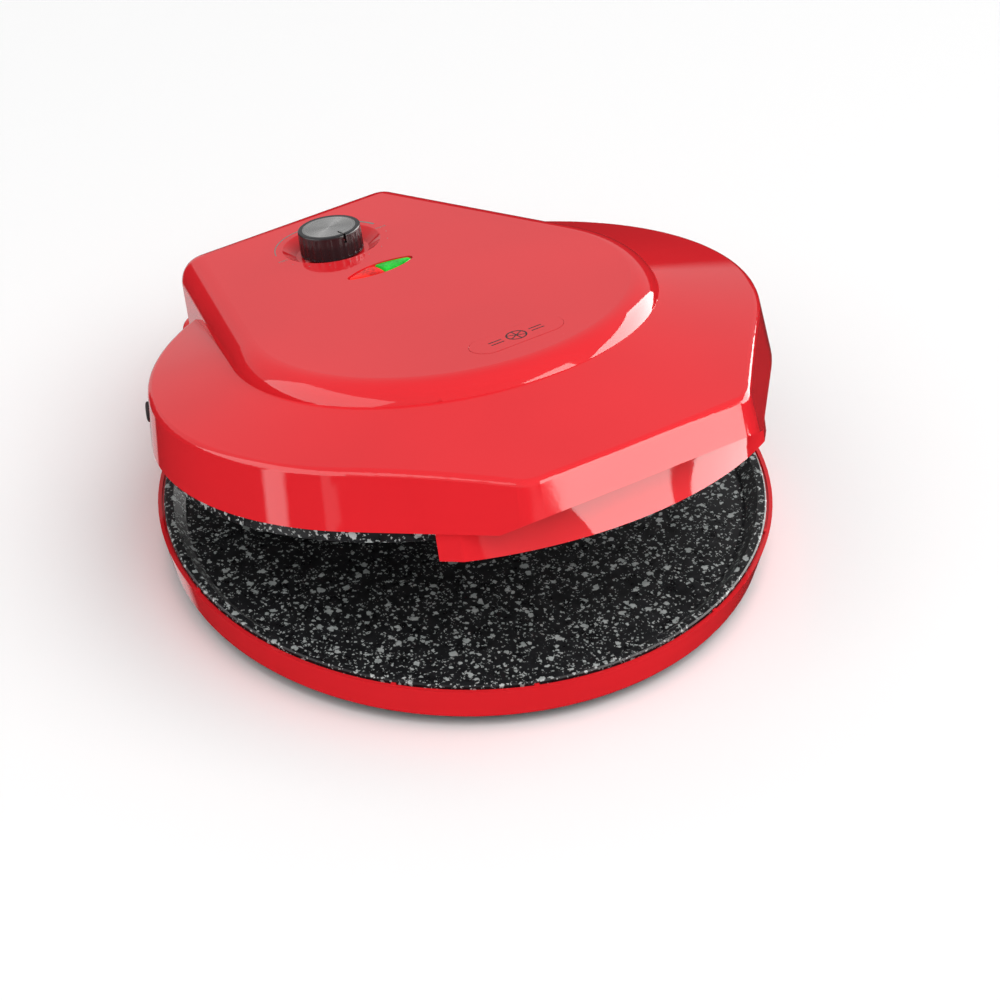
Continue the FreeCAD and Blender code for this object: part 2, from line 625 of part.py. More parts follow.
def lid_shell():
    shell = lid_solid(0, 0).cut(lid_solid(WALL, -2.0)).cut(under_bevel(0, 5))
    floor_z = HUMP_TOP_Z - BOWL_DEPTH
    bowl = ring(BOWL_RADIUS + WALL, SHAFT_HOLE, floor_z - WALL, HUMP_TOP_Z - WALL + 0.5, 0, KNOB_Y)
    dish = Part.makeCone(BOWL_FLOOR_RADIUS, BOWL_RADIUS, BOWL_DEPTH, Vector(0, KNOB_Y, floor_z), Z)
    shell = shell.fuse(bowl).cut(dish)
    shell = shell.cut(disc(SHAFT_HOLE, 30, 60, 0, KNOB_Y))
    shell = shell.cut(lens_prism(0.0, HUMP_TOP_Z - 4, HUMP_TOP_Z + 1))
    shell = shell.cut(badge_solid(0.0, HUMP_TOP_Z - BADGE_RECESS, HUMP_TOP_Z + 1))
    for side in (-1, 1):
        x0, x1 = sorted((side * (ARM_INNER_X - 0.4), side * (ARM_INNER_X + ARM_WIDTH + 0.4)))
        shell = shell.cut(box(x0, x1, HUMP_REAR_Y - 6, HUMP_REAR_Y + 2, -1, ARM_SLOT_TOP_Z))
        shell = shell.cut(side_bumper(side))
    shell = shell.fuse(lid_bosses())
    return shell.removeSplitter()


def lid_bosses():
    """Columns that hang from the lid's inside for the plate's posts, the hinge arms and the screws."""
    inside = lid_solid(WALL - 0.5, 0)
    columns = []
    for angle in POST_ANGLES:
        x, y = polar(POST_CIRCLE, angle)
        columns.append(disc(POST_RADIUS + 2.5, POST_COLUMN_Z, HUMP_TOP_Z - 4, x, y))
    for x, y in arm_screw_places():
        columns.append(ring(BOSS_RADIUS, BOSS_BORE, ARM_TOP_Z + 0.2, HUMP_TOP_Z - 1, x, y))
    for x, y in handle_screw_places():
        columns.append(ring(BOSS_RADIUS, SCREW_SHANK, 2.2, TOP_RIM_Z - 1, x, y))
    for x, y in rear_cover_screw_places():
        columns.append(ring(BOSS_RADIUS, SCREW_SHANK, 2.0, HUMP_TOP_Z - 1, x, y))
    return fuse_all([c.common(inside) for c in columns])


def arm_screw_places():
    x = ARM_INNER_X + ARM_WIDTH / 2
    return [(s * x, y) for s in (-1, 1) for y in (170.0, 156.0)]


def handle_screw_places():
    return [(77.0, -160.8), (-77.0, -160.8)]


def rear_cover_screw_places():
    return [(58.0, 166.0), (-58.0, 166.0)]


def lens_prism(inset, z0, z1):
    """A long oval across the lid, from two arcs with rounded tips."""
    half, wide = LENS_HALF_LENGTH - inset * 1.5, LENS_HALF_WIDTH - inset
    a, b = (-half, LENS_Y), (half, LENS_Y)
    outline = Part.Wire([arc(a, (0, LENS_Y - wide), b, 0), arc(b, (0, LENS_Y + wide), a, 0)])
    tip = lambda e: z_range(e)[1] - z_range(e)[0] > (z1 - z0) / 2
    return fillet_where(prism(outline, z0, z1), LENS_TIP_RADIUS - inset, tip)


def lamp_lens(side):
    body = lens_prism(0.3, HUMP_TOP_Z - WALL, HUMP_TOP_Z - 0.5)
    x0, x1 = sorted((side * 0.3, side * 30.0))
    return body.common(box(x0, x1, LENS_Y - 20, LENS_Y + 20, 0, 80))


def lamp_holder():
    """A tray under the two lenses, with a wall between the lamps."""
    z1 = HUMP_TOP_Z - WALL
    outer = box(-26, 26, LENS_Y - 11, LENS_Y + 11, z1 - 13, z1)
    for x0, x1 in ((-24.4, -0.8), (0.8, 24.4)):
        outer = outer.cut(box(x0, x1, LENS_Y - 9.4, LENS_Y + 9.4, z1 - 11.5, z1 + 1))
    return outer


def indicator_lamps():
    z = HUMP_TOP_Z - WALL - 6.0
    lamps = []
    for side in (-1, 1):
        lamps.append(Part.makeCylinder(2.6, 12, Vector(side * 11.0 - 6.0, LENS_Y, z), X))
    return group(lamps)


def badge_solid(inset, z0, z1):
    half = BADGE_HALF_STRAIGHT
    radius = BADGE_RADIUS - inset
    parts = [disc(radius, z0, z1, -half, BADGE_Y), disc(radius, z0, z1, half, BADGE_Y),
             box(-half, half, BADGE_Y - radius, BADGE_Y + radius, z0, z1)]
    return fuse_all(parts)


def badge_plate():
    return badge_solid(0.25, HUMP_TOP_Z - BADGE_RECESS, HUMP_TOP_Z + 0.1)


def band_outline(front, inset, rear_y, z):
    """Plan of the handle band at a height: a bowed front, two corners and two short flat sides."""
    a = math.radians(NOSE_ANGLE)
    bisector = a + math.radians(10)
    corner = (BAND_CORNER_X - inset * math.cos(bisector), BAND_CORNER_Y + inset * math.sin(bisector))
    back = (corner[0] + (rear_y - corner[1]) * math.tan(a), rear_y)
    flip = lambda p: (-p[0], p[1])
    return Part.Wire([arc(flip(corner), (0, inset - front), corner, z), line(corner, back, z),
                      line(back, flip(back), z), line(flip(back), flip(corner), z)])


def band_solid(inset, rear_y, z_over):
    top = band_outline(BAND_TOP_FRONT, inset, rear_y, z_over)
    bottom = band_outline(BAND_BOTTOM_FRONT, inset, rear_y, -BAND_DEPTH - z_over)
    return Part.makeLoft([bottom, top], True, True)


def handle_band():
    """Grip under the nose: a band that hangs from two corner floors."""
    outer = band_solid(0, BAND_REAR_Y, 0)
    upright_corner = lambda e: (z_range(e)[1] - z_range(e)[0] > 10 and e.BoundBox.YMax < BAND_REAR_Y - 4)
    outer = fillet_where(outer, 4.0, upright_corner)
    band = outer.cut(band_solid(BAND_WALL, BAND_REAR_Y + 12.0, 1.0))
    thick = 2.0
    inside = Part.makeLoft([lid_outline(WALL + 0.3, 0), lid_outline(WALL + 0.3 + 20 * SKIRT_DRAFT, 20)], True, True)
    floor = inside.common(box(-200, 200, -200, -108, 0, thick).fuse(under_bevel(thick, 1)))
    floor = floor.cut(under_bevel(0, 5)).cut(disc(SKIRT_RADIUS - 2.4, -1, 3))
    for x, y in handle_screw_places():
        floor = floor.cut(disc(SCREW_HOLE, -1, 3, x, y))
    return band.fuse(floor).removeSplitter()


def handle_screws():
    screws = []
    for x, y in handle_screw_places():
        screws.append(disc(SCREW_HEAD, -1.8, 0, x, y).fuse(disc(SCREW_SHANK - 0.05, 0, 12, x, y)))
    return group(screws)


def upper_baking_plate():
    plate = revolve(plate_profile(UPPER_RECESS, LIP_DROP + 1.5))
    dish_edge = lambda e: abs(z_range(e)[1] + UPPER_RECESS) < 0.01 and e.Length > 100
    plate = fillet_where(plate, DISH_FILLET, dish_edge)
    plate.rotate(ORIGIN, X, 180)
    plate.translate(Vector(0, 0, -LIP_DROP))
    return plate


def lid_rear_cover():
    """Closes the rear housing from below, behind the plate."""
    plan = prism(hump_outline(WALL + 0.3, 0), 0.2, 1.8)
    cover = plan.cut(disc(SKIRT_RADIUS - 1.5, -1, 4))
    for x, y in rear_cover_screw_places():
        cover = cover.cut(disc(SCREW_HOLE, -1, 4, x, y))
    return cover


def rear_cover_screws():
    screws = []
    for x, y in rear_cover_screw_places():
        screws.append(disc(SCREW_HEAD, -1.4, 0.2, x, y).fuse(disc(SCREW_SHANK - 0.05, 0.2, 11, x, y)))
    return group(screws)


def hinge_arm(side):
    """A cast arm from inside the rear housing out to the hinge axis."""
    local_z = HINGE_Z - SKIRT_CLOSED_Z
    x0, x1 = sorted((side * ARM_INNER_X, side * (ARM_INNER_X + ARM_WIDTH)))
    bar = side_profile([(ARM_FRONT_Y, ARM_UNDER_Z), (HINGE_Y - 4, ARM_UNDER_Z),
                        (HINGE_Y, local_z - ARM_BARREL_RADIUS), (HINGE_Y, local_z + ARM_BARREL_RADIUS),
                        (HINGE_Y - 14, ARM_TOP_Z), (ARM_FRONT_Y, ARM_TOP_Z)], x0, x1)
    arm = bar.fuse(rod(ARM_BARREL_RADIUS, x0, x1, HINGE_Y, local_z))
    arm = arm.cut(rod(BUSH_RADIUS, x0 - 1, x1 + 1, HINGE_Y, local_z))
    for x, y in arm_screw_places():
        arm = arm.cut(disc(1.7, 0, ARM_TOP_Z + 3, x, y)).cut(disc(3.3, 0, ARM_SCREW_SEAT_Z, x, y))
    return arm.removeSplitter()


def hinge_arm_screws():
    screws = []
    for x, y in arm_screw_places():
        head = disc(3.1, ARM_SCREW_SEAT_Z - 2.0, ARM_SCREW_SEAT_Z, x, y)
        screws.append(head.fuse(disc(1.55, ARM_SCREW_SEAT_Z, 24, x, y)))
    return group(screws)


def hinge_bush(side):
    local_z = HINGE_Z - SKIRT_CLOSED_Z
    x0, x1 = sorted((side * ARM_INNER_X, side * (ARM_INNER_X + ARM_WIDTH)))
    bore = rod(PIN_RADIUS + RUNNING_CLEARANCE, x0 - 1, x1 + 1, HINGE_Y, local_z)
    return rod(BUSH_RADIUS, x0, x1, HINGE_Y, local_z).cut(bore)


def side_bumper(side):
    """A black disc on the skirt, towards the rear."""
    bumper = disc(BUMPER_RADIUS, 0, 2.2)
    bumper = fillet_where(bumper, 0.8, lambda e: z_range(e)[0] > 2.1)
    bumper.rotate(ORIGIN, Y, 90)
    bumper.translate(Vector(SKIRT_RADIUS - 1.3, 0, BUMPER_Z))
    bumper.rotate(ORIGIN, Z, 90 - side * (90 - BUMPER_ANGLE))
    return bumper


def thermostat_body():
    """Switch block on a bracket that hangs under the knob's bowl."""
    z1 = HUMP_TOP_Z - BOWL_DEPTH - WALL
    strap = box(-18, 18, KNOB_Y - 10, KNOB_Y + 10, z1 - 1.2, z1)
    block = box(-12, 12, KNOB_Y - 9, KNOB_Y + 9, z1 - 15, z1 - 1.2)
    neck = ring(4.4, SHAFT_RADIUS + RUNNING_CLEARANCE, z1 - 2, z1 + WALL + 0.2, 0, KNOB_Y)
    terminals = [box(x - 3, x + 3, KNOB_Y - 0.4, KNOB_Y + 0.4, z1 - 23, z1 - 14.5) for x in (-7.5, 7.5)]
    body = fuse_all([strap, block] + terminals)
    body = body.cut(disc(SHAFT_RADIUS + RUNNING_CLEARANCE, z1 - 12, z1 + 1, 0, KNOB_Y))
    return body.fuse(neck).removeSplitter()


def thermostat_screws():
    z1 = HUMP_TOP_Z - BOWL_DEPTH
    screws = []
    for x in (-15.0, 15.0):
        screws.append(disc(2.6, z1, z1 + 0.9, x, KNOB_Y))
    return group(screws)


# ---------------------------------------------------------------- knob

def knob_body():
    height = KNOB_TOP_Z - KNOB_BOTTOM_Z
    body = Part.makeCone(KNOB_RADIUS, KNOB_RADIUS - 0.15, height, Vector(0, KNOB_Y, KNOB_BOTTOM_Z), Z)
    body = fillet_where(body, 0.9, lambda e: z_range(e)[0] > KNOB_TOP_Z - 0.1)
    body = body.cut(disc(KNOB_DISC_RADIUS, KNOB_TOP_Z - 0.8, KNOB_TOP_Z + 1, 0, KNOB_Y))
    body = body.cut(disc(KNOB_RADIUS - 2.6, KNOB_BOTTOM_Z - 1, KNOB_TOP_Z - 3.2, 0, KNOB_Y))
    body = body.fuse(disc(5.5, KNOB_BOTTOM_Z + 1.0, KNOB_TOP_Z - 3.0, 0, KNOB_Y))
    body = body.cut(disc(SHAFT_RADIUS, KNOB_BOTTOM_Z - 1, KNOB_TOP_Z - 4.0, 0, KNOB_Y))
    flutes = []
    for i in range(KNOB_RIBS):
        x, y = polar(KNOB_RADIUS - FLUTE_DEPTH + FLUTE_RADIUS, 360.0 * (i + 0.5) / KNOB_RIBS)
        flutes.append(disc(FLUTE_RADIUS, KNOB_BOTTOM_Z + 0.8, KNOB_TOP_Z - 1.6, x, KNOB_Y + y))
    for flute in flutes:
        body = body.cut(flute)
    front = KNOB_Y - KNOB_DISC_RADIUS
    notch = box(-0.8, 0.8, KNOB_Y - KNOB_RADIUS - 1, front + 0.2, KNOB_TOP_Z - 5, KNOB_TOP_Z + 1)
    return body.cut(notch).removeSplitter()


def knob_disc():
    plate = disc(KNOB_DISC_RADIUS - 0.05, KNOB_TOP_Z - 0.8, KNOB_TOP_Z - 0.1, 0, KNOB_Y)
    front = KNOB_Y - KNOB_DISC_RADIUS
    return plate.cut(box(-0.7, 0.7, front - 1, front + 5, KNOB_TOP_Z - 2, KNOB_TOP_Z + 1))


def thermostat_shaft():
    z0 = HUMP_TOP_Z - BOWL_DEPTH - WALL - 11.5
    return disc(SHAFT_RADIUS, z0, KNOB_TOP_Z - 4.0, 0, KNOB_Y)


# ---------------------------------------------------------------- assembly

def base_nodes():
    plate_under = RIM_PLANE_Z - LOWER_RECESS - PLATE_THICKNESS
    element_z = plate_under - ELEMENT_RADIUS
    nodes = {
        "base_shell": base_shell(),
        "bottom_cover": bottom_cover(),
        "pedestal_cover": pedestal_cover(),
        "bottom_cover_screws": bottom_cover_screws(),
        "lower_baking_plate": lower_baking_plate(),
        "lower_heating_element": heating_element(element_z, -3.0),
        "lower_element_clips": element_clips(plate_under, element_z, -1),
        "lower_reflector": reflector(COVER_TOP_Z + 1.6, 1),
        "lower_insulation": insulation(COVER_TOP_Z + 0.1, COVER_TOP_Z + 0.9),
        "lower_plate_posts": plate_posts(COVER_TOP_Z, plate_under),
        "hinge_bracket": hinge_bracket(),
        "hinge_bracket_screws": bracket_screws(),
        "hinge_cover": hinge_cover(),
        "hinge_pin": hinge_pin(),
        "hinge_pin_caps": hinge_pin_caps(),
        "hinge_washers": hinge_washers(),
        "cord_bushing": cord_bushing(),
        "terminal_block": terminal_block(),
        "thermal_fuse": thermal_fuse(),
    }
    names = ("foot_front_left", "foot_front_right", "foot_rear_right", "foot_rear_left",
             "foot_hinge_right", "foot_hinge_left")
    for name, (x, y) in zip(names, foot_places()):
        nodes[name] = foot(x, y)
    return nodes


def lid_nodes():
    plate_over = -LIP_DROP + UPPER_RECESS + PLATE_THICKNESS
    element_z = plate_over + ELEMENT_RADIUS
    return {
        "lid_shell": lid_shell(),
        "handle_band": handle_band(),
        "handle_screws": handle_screws(),
        "lid_rear_cover": lid_rear_cover(),
        "rear_cover_screws": rear_cover_screws(),
        "upper_baking_plate": upper_baking_plate(),
        "upper_heating_element": heating_element(element_z, 12.0),
        "upper_element_clips": element_clips(plate_over, element_z, 1),
        "upper_reflector": reflector(plate_over + 9.0, -1),
        "upper_insulation": insulation(plate_over + 9.8, plate_over + 14.0),
        "upper_plate_posts": plate_posts(plate_over, POST_COLUMN_Z),
        "hinge_arm_left": hinge_arm(-1),
        "hinge_arm_right": hinge_arm(1),
        "hinge_arm_screws": hinge_arm_screws(),
        "hinge_bush_left": hinge_bush(-1),
        "hinge_bush_right": hinge_bush(1),
        "side_bumper_left": side_bumper(-1),
        "side_bumper_right": side_bumper(1),
        "thermostat_body": thermostat_body(),
        "thermostat_screws": thermostat_screws(),
        "lamp_holder": lamp_holder(),
        "lamp_lens_red": lamp_lens(-1),
        "lamp_lens_green": lamp_lens(1),
        "indicator_lamps": indicator_lamps(),
        "badge_plate": badge_plate(),
        "knob_body": knob_body(),
        "knob_disc": knob_disc(),
        "thermostat_shaft": thermostat_shaft(),
    }


def open_lid(shape):
    """From the lid's own frame to the oven's, at the angle where the lid stands."""
    placed = shape.copy()
    placed.translate(Vector(0, 0, SKIRT_CLOSED_Z))
    placed.rotate(Vector(0, HINGE_Y, HINGE_Z), Vector(-1, 0, 0), REST_OPENING)
    return placed


def whole_box(shapes):
    boxes = [s.optimalBoundingBox(True, False) for s in shapes]
    low = [min(getattr(b, n) for b in boxes) for n in ("XMin", "YMin", "ZMin")]
    high = [max(getattr(b, n) for b in boxes) for n in ("XMax", "YMax", "ZMax")]
    return low, high


def main():
    nodes = base_nodes()
    for name, shape in lid_nodes().items():
        nodes[name] = open_lid(shape)
    low, high = whole_box(nodes.values())
    shift = Vector(0, -(low[1] + high[1]) / 2, 0)
    for name, shape in nodes.items():
        shape.translate(shift)
        if not shape.isValid():
            print("INVALID", name)
        shape.exportStep("parts/" + name + ".step")
    print("box", [round(v, 2) for v in low], [round(v, 2) for v in high], "shift y", round(shift.y, 3))
    print("hinge", round(HINGE_Y + shift.y, 3), HINGE_Z)
    knob = open_lid(Part.Vertex(Vector(0, KNOB_Y, HUMP_TOP_Z)))
    print("knob", round(knob.Y + shift.y, 3), round(knob.Z, 3))
    for name, shape in nodes.items():
        print(name, len(shape.Solids), round(shape.Volume / 1000, 2), "cm3")


main()
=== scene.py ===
import json
import math

import bmesh
import bpy
from mathutils import Matrix, Vector


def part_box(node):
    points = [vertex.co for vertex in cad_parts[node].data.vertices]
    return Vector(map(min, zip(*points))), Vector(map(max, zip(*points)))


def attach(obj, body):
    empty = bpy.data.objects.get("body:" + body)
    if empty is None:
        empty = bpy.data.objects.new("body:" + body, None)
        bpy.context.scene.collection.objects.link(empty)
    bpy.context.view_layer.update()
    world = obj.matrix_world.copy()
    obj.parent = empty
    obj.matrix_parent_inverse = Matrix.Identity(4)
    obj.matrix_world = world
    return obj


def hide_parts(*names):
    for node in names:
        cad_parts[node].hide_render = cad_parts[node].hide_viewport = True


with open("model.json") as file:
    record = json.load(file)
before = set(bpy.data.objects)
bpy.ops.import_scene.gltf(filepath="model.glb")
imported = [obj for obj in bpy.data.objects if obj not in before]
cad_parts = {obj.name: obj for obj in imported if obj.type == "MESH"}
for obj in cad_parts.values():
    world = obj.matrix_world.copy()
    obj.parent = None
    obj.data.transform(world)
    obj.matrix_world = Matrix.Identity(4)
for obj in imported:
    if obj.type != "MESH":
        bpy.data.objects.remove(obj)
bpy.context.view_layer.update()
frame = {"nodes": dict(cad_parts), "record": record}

# Countertop pizza oven: finishes, the printed dial and badge, the domed lamp lenses, the studio and
# the camera. Lengths are in metres; small ones are given in millimetres and multiplied by MM.

MM = 0.001
NODES = frame["nodes"]
RECORD = frame["record"]
SCENE = bpy.context.scene

# ---------------------------------------------------------------- places, from the frame

plate_low, plate_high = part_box("lower_baking_plate")
PLATE_AXIS = Vector(((plate_low.x + plate_high.x) / 2, (plate_low.y + plate_high.y) / 2, 0.0))
RIM_Z = plate_high.z
PLATE_RADIUS = (plate_high.x - plate_low.x) / 2

KNOB_TURN = [joint for joint in RECORD["behaviour"]["joints"] if joint["name"] == "knob_turn"][0]
DIAL_CENTRE = Vector(KNOB_TURN["pos_m"])         # on the raised housing's top
LID_UP = Vector(KNOB_TURN["axis"]).normalized()
LID_RIGHT = Vector((1.0, 0.0, 0.0))
LID_BACK = LID_UP.cross(LID_RIGHT)


def node_centre(*names):
    corners = [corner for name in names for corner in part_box(name)]
    low = Vector([min(c[i] for c in corners) for i in range(3)])
    high = Vector([max(c[i] for c in corners) for i in range(3)])
    return (low + high) / 2


def on_top(x, y, height=0.0):
    """A point on the raised housing's top, x and y in the lid's plane from the dial's centre."""
    return DIAL_CENTRE + LID_RIGHT * x + LID_BACK * y + LID_UP * height


def back_from_dial(point):
    return (point - DIAL_CENTRE).dot(LID_BACK)


# ---------------------------------------------------------------- camera

CAMERA_AZIMUTH = math.radians(-33.8)              # from the front, towards the oven's right
CAMERA_ELEVATION = math.radians(38.2)
CAMERA_ROLL = math.radians(0.86)
CAMERA_DISTANCE = 15.108 * PLATE_RADIUS
CAMERA_AIM = Vector((0.0851 * PLATE_RADIUS, -0.0793 * PLATE_RADIUS, RIM_Z - 0.0235 * PLATE_RADIUS))
FOCAL_LENGTH = 163.6                              # in mm of a 36 mm sensor


def make_camera():
    """Looks from the front left and above."""
    azimuth, elevation, roll = CAMERA_AZIMUTH, CAMERA_ELEVATION, CAMERA_ROLL
    target = PLATE_AXIS + CAMERA_AIM
    back = Vector((math.sin(azimuth) * math.cos(elevation), -math.cos(azimuth) * math.cos(elevation),
                   math.sin(elevation)))
    level = Vector((math.cos(azimuth), math.sin(azimuth), 0.0))
    rise = back.cross(level)
    right = level * math.cos(roll) + rise * math.sin(roll)
    up = rise * math.cos(roll) - level * math.sin(roll)
    data = bpy.data.cameras.new("camera")
    data.sensor_width = 36.0
    data.lens = FOCAL_LENGTH
    data.clip_end = 80.0
    camera = bpy.data.objects.new("camera", data)
    SCENE.collection.objects.link(camera)
    turn = Matrix((right, up, back)).transposed().to_4x4()
    camera.matrix_world = Matrix.Translation(target + back * CAMERA_DISTANCE) @ turn
    SCENE.camera = camera


# ---------------------------------------------------------------- node helpers

class Graph:
    """Short calls for building a node tree."""

    def __init__(self, tree):
        self.tree = tree

    def node(self, kind, **settings):
        made = self.tree.nodes.new(kind)
        for name, value in settings.items():
            setattr(made, name, value)
        return made

    def put(self, socket_shade, value):
        if isinstance(value, bpy.types.NodeSocket):
            self.tree.links.new(value, socket_shade)
        else:
            socket_shade.default_value = value

    def math(self, operation, a, b=0.0, clamp=False):
        made = self.node("ShaderNodeMath", operation=operation, use_clamp=clamp)
        self.put(made.inputs[0], a)
        self.put(made.inputs[1], b)
        return made.outputs[0]

    def ramp(self, value, low, high, to_low=0.0, to_high=1.0):
        """Maps low..high to to_low..to_high and holds it there outside."""
        made = self.node("ShaderNodeMapRange", clamp=True)
        for name, given in (("Value", value), ("From Min", low), ("From Max", high), ("To Min", to_low),
                            ("To Max", to_high)):
            self.put(made.inputs[name], given)
        return made.outputs["Result"]

    def blend(self, factor, a, b):
        made = self.node("ShaderNodeMix", data_type="RGBA")
        self.put(made.inputs[0], factor)
        self.put(made.inputs[6], a if isinstance(a, bpy.types.NodeSocket) else (*a, 1))
        self.put(made.inputs[7], b if isinstance(b, bpy.types.NodeSocket) else (*b, 1))
        return made.outputs[2]

    def place(self):
        return self.node("ShaderNodeTexCoord").outputs["Object"]

    def noise(self, vector, grain, detail=2.0, roughness=0.5):
        """Noise whose features are about as large as grain, in metres."""
        made = self.node("ShaderNodeTexNoise")
        self.put(made.inputs["Vector"], vector)
        made.inputs["Scale"].default_value = 0.5 / grain
        made.inputs["Detail"].default_value = detail
        made.inputs["Roughness"].default_value = roughness
        return made

    def bump(self, height, strength, depth):
        made = self.node("ShaderNodeBump")
        made.inputs["Strength"].default_value = strength
        made.inputs["Distance"].default_value = depth
        self.put(made.inputs["Height"], height)
        return made.outputs["Normal"]


def new_material(name):
    material = bpy.data.materials.new(name)
    material.use_nodes = True
    shader = material.node_tree.nodes["Principled BSDF"]
    return material, Graph(material.node_tree), shader


def scaled(colour, factor):
    return tuple(min(1.0, channel * factor) for channel in colour)


def finish(name, colour, spread, rough, grain, bump=0.1, depth=0.05 * MM, metallic=0.0, sheen=0.0):
    """A plain finish: its colour drifts by spread, its roughness runs over rough, its grain is in metres."""
    material, graph, shader = new_material(name)
    place = graph.place()
    drift = graph.noise(place, grain * 8, 3.0).outputs["Fac"]
    fine = graph.noise(place, grain, 3.0, 0.6).outputs["Fac"]
    mixed = graph.math("ADD", graph.math("MULTIPLY", drift, 0.6), graph.math("MULTIPLY", fine, 0.4))
    share = graph.ramp(mixed, 0.35, 0.65)
    tone = graph.blend(share, scaled(colour, 1 - spread), scaled(colour, 1 + spread))
    graph.put(shader.inputs["Base Color"], tone)
    graph.put(shader.inputs["Roughness"], graph.ramp(fine, 0.3, 0.7, rough[0], rough[1]))
    graph.put(shader.inputs["Normal"], graph.bump(fine, bump, depth))
    shader.inputs["Metallic"].default_value = metallic
    shader.inputs["Sheen Weight"].default_value = sheen
    return material


# ---------------------------------------------------------------- finishes of the oven

RED = (0.80, 0.020, 0.028)
DUST = (0.9, 0.62, 0.58)
DUST_CELL = 9 * MM


def red_gloss():
    """High-gloss moulded red: a faint orange peel, a slow drift of tone and a few dust specks."""
    material, graph, shader = new_material("red_gloss")
    place = graph.place()
    drift = graph.noise(place, 60 * MM, 2.0).outputs["Fac"]
    red = graph.blend(graph.ramp(drift, 0.3, 0.7), scaled(RED, 0.96), scaled(RED, 1.04))
    dust = graph.node("ShaderNodeTexVoronoi", feature="F1")
    graph.put(dust.inputs["Vector"], place)
    dust.inputs["Scale"].default_value = 1 / DUST_CELL
    chance = graph.node("ShaderNodeSeparateColor")
    graph.put(chance.inputs[0], dust.outputs["Color"])
    size = graph.ramp(chance.outputs[0], 0.86, 1.0, 0.0, 0.035)
    speck = graph.math("LESS_THAN", dust.outputs["Distance"], size)
    red = graph.blend(graph.math("MULTIPLY", speck, 0.35), red, DUST)
    graph.put(shader.inputs["Base Color"], red)
    smear = graph.noise(place, 25 * MM, 4.0, 0.6).outputs["Fac"]
    graph.put(shader.inputs["Roughness"], graph.ramp(smear, 0.35, 0.7, 0.035, 0.075))
    peel = graph.noise(place, 1.1 * MM, 2.0, 0.45).outputs["Fac"]
    graph.put(shader.inputs["Normal"], graph.bump(peel, 0.35, 0.02 * MM))
    shader.inputs["IOR"].default_value = 1.5
    return material


def splatter(graph, place, cell, share, least, most):
    """Irregular blobs: one in some cells of a given size, as large as least to most cells."""
    cells = graph.node("ShaderNodeTexVoronoi", feature="F1")
    graph.put(cells.inputs["Vector"], place)
    cells.inputs["Scale"].default_value = 1 / cell
    chance = graph.node("ShaderNodeSeparateColor")
    graph.put(chance.inputs[0], cells.outputs["Color"])
    radius = graph.ramp(chance.outputs[1], 0.0, 1.0, least, most)
    present = graph.math("LESS_THAN", chance.outputs[0], share)
    reach = graph.math("SUBTRACT", graph.math("MULTIPLY", radius, present), cells.outputs["Distance"])
    return graph.ramp(reach, 0.0, 0.05)


def speckled_coating():
    """Black non-stick coating with light grey splatter in three sizes."""
    material, graph, shader = new_material("speckled_coating")
    place = graph.place()
    wander = graph.noise(place, 1.2 * MM, 2.5, 0.6)
    shift = graph.node("ShaderNodeVectorMath", operation="SUBTRACT")
    graph.put(shift.inputs[0], wander.outputs["Color"])
    shift.inputs[1].default_value = (0.5, 0.5, 0.5)
    bend = graph.node("ShaderNodeVectorMath", operation="SCALE")
    graph.put(bend.inputs[0], shift.outputs[0])
    bend.inputs["Scale"].default_value = 4.2 * MM
    moved = graph.node("ShaderNodeVectorMath", operation="ADD")
    graph.put(moved.inputs[0], place)
    graph.put(moved.inputs[1], bend.outputs[0])
    bent = moved.outputs[0]
    large = splatter(graph, bent, 6.0 * MM, 0.5, 0.16, 0.4)
    medium = splatter(graph, bent, 3.1 * MM, 0.6, 0.16, 0.44)
    small = splatter(graph, bent, 1.6 * MM, 0.5, 0.15, 0.42)
    marks = graph.math("MAXIMUM", large, graph.math("MAXIMUM", medium, small))
    tone = graph.noise(place, 2.5 * MM, 3.0).outputs["Fac"]
    grey = graph.blend(graph.ramp(tone, 0.35, 0.65), (0.36, 0.39, 0.38), (0.53, 0.56, 0.55))
    black = graph.blend(graph.ramp(tone, 0.3, 0.7), (0.007, 0.007, 0.008), (0.016, 0.016, 0.018))
    graph.put(shader.inputs["Base Color"], graph.blend(marks, black, grey))
    graph.put(shader.inputs["Roughness"], graph.ramp(tone, 0.3, 0.7, 0.26, 0.4))
    grain = graph.noise(place, 0.5 * MM, 2.0).outputs["Fac"]
    height = graph.math("ADD", graph.math("MULTIPLY", marks, 0.8), graph.math("MULTIPLY", grain, 0.4))
    graph.put(shader.inputs["Normal"], graph.bump(height, 0.25, 0.04 * MM))
    shader.inputs["Specular IOR Level"].default_value = 0.35
    return material


